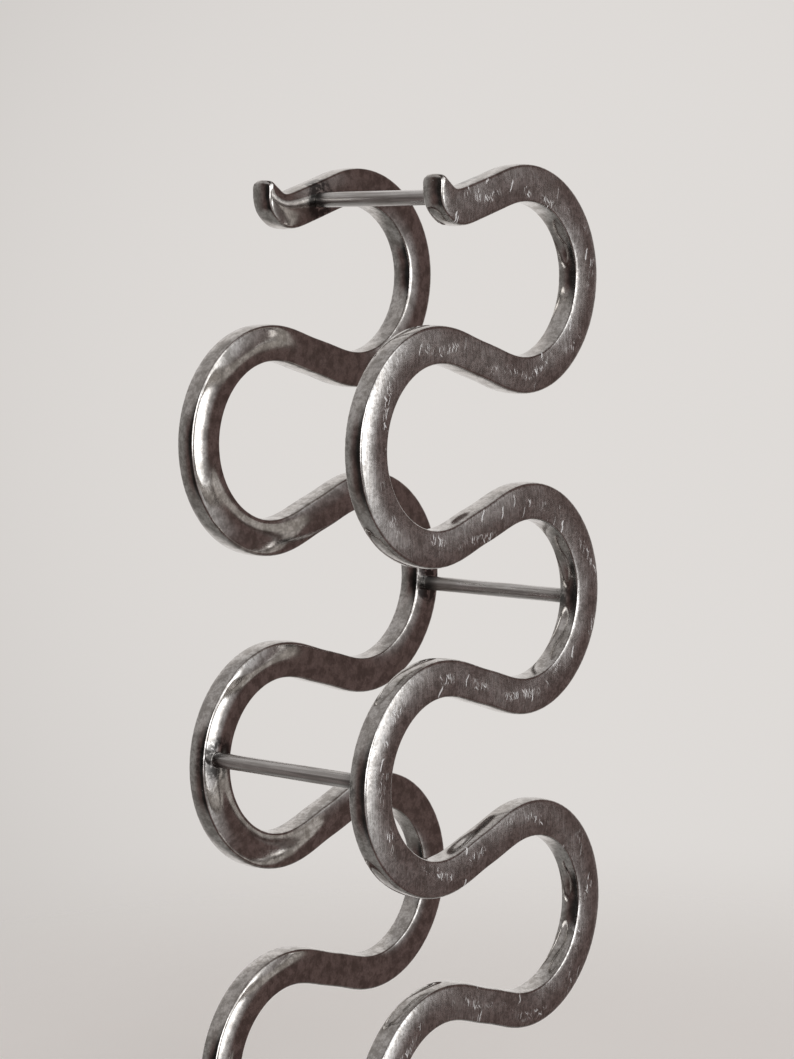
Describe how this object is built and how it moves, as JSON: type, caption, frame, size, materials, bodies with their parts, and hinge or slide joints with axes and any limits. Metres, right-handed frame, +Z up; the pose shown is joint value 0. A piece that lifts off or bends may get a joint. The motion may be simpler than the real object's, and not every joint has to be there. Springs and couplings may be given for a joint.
{
  "type": "wine rack",
  "caption": "Free-standing wine rack: two matching serpentine solid metal side frames with curled ends, joined by round tie rods, holding bottles on their side in the loops.",
  "frame": {"origin": "on the floor, under the middle of the rack", "axes": "+Z up along the height, X across the wave's swing, Y along the bottles and the tie rods"},
  "size_m": [0.2372, 0.148, 0.6363],
  "materials": {
    "frame_metal": "polished and aged, dark warm grey with fine scratches",
    "rod_metal": "satin, drawn lengthwise"
  },
  "bodies": {
    "root": {"front_frame": "frame_metal", "rear_frame": "frame_metal", "top_tie_rod": "rod_metal", "upper_tie_rod": "rod_metal", "lower_tie_rod": "rod_metal", "bottom_tie_rod": "rod_metal"}
  },
  "joints": []
}
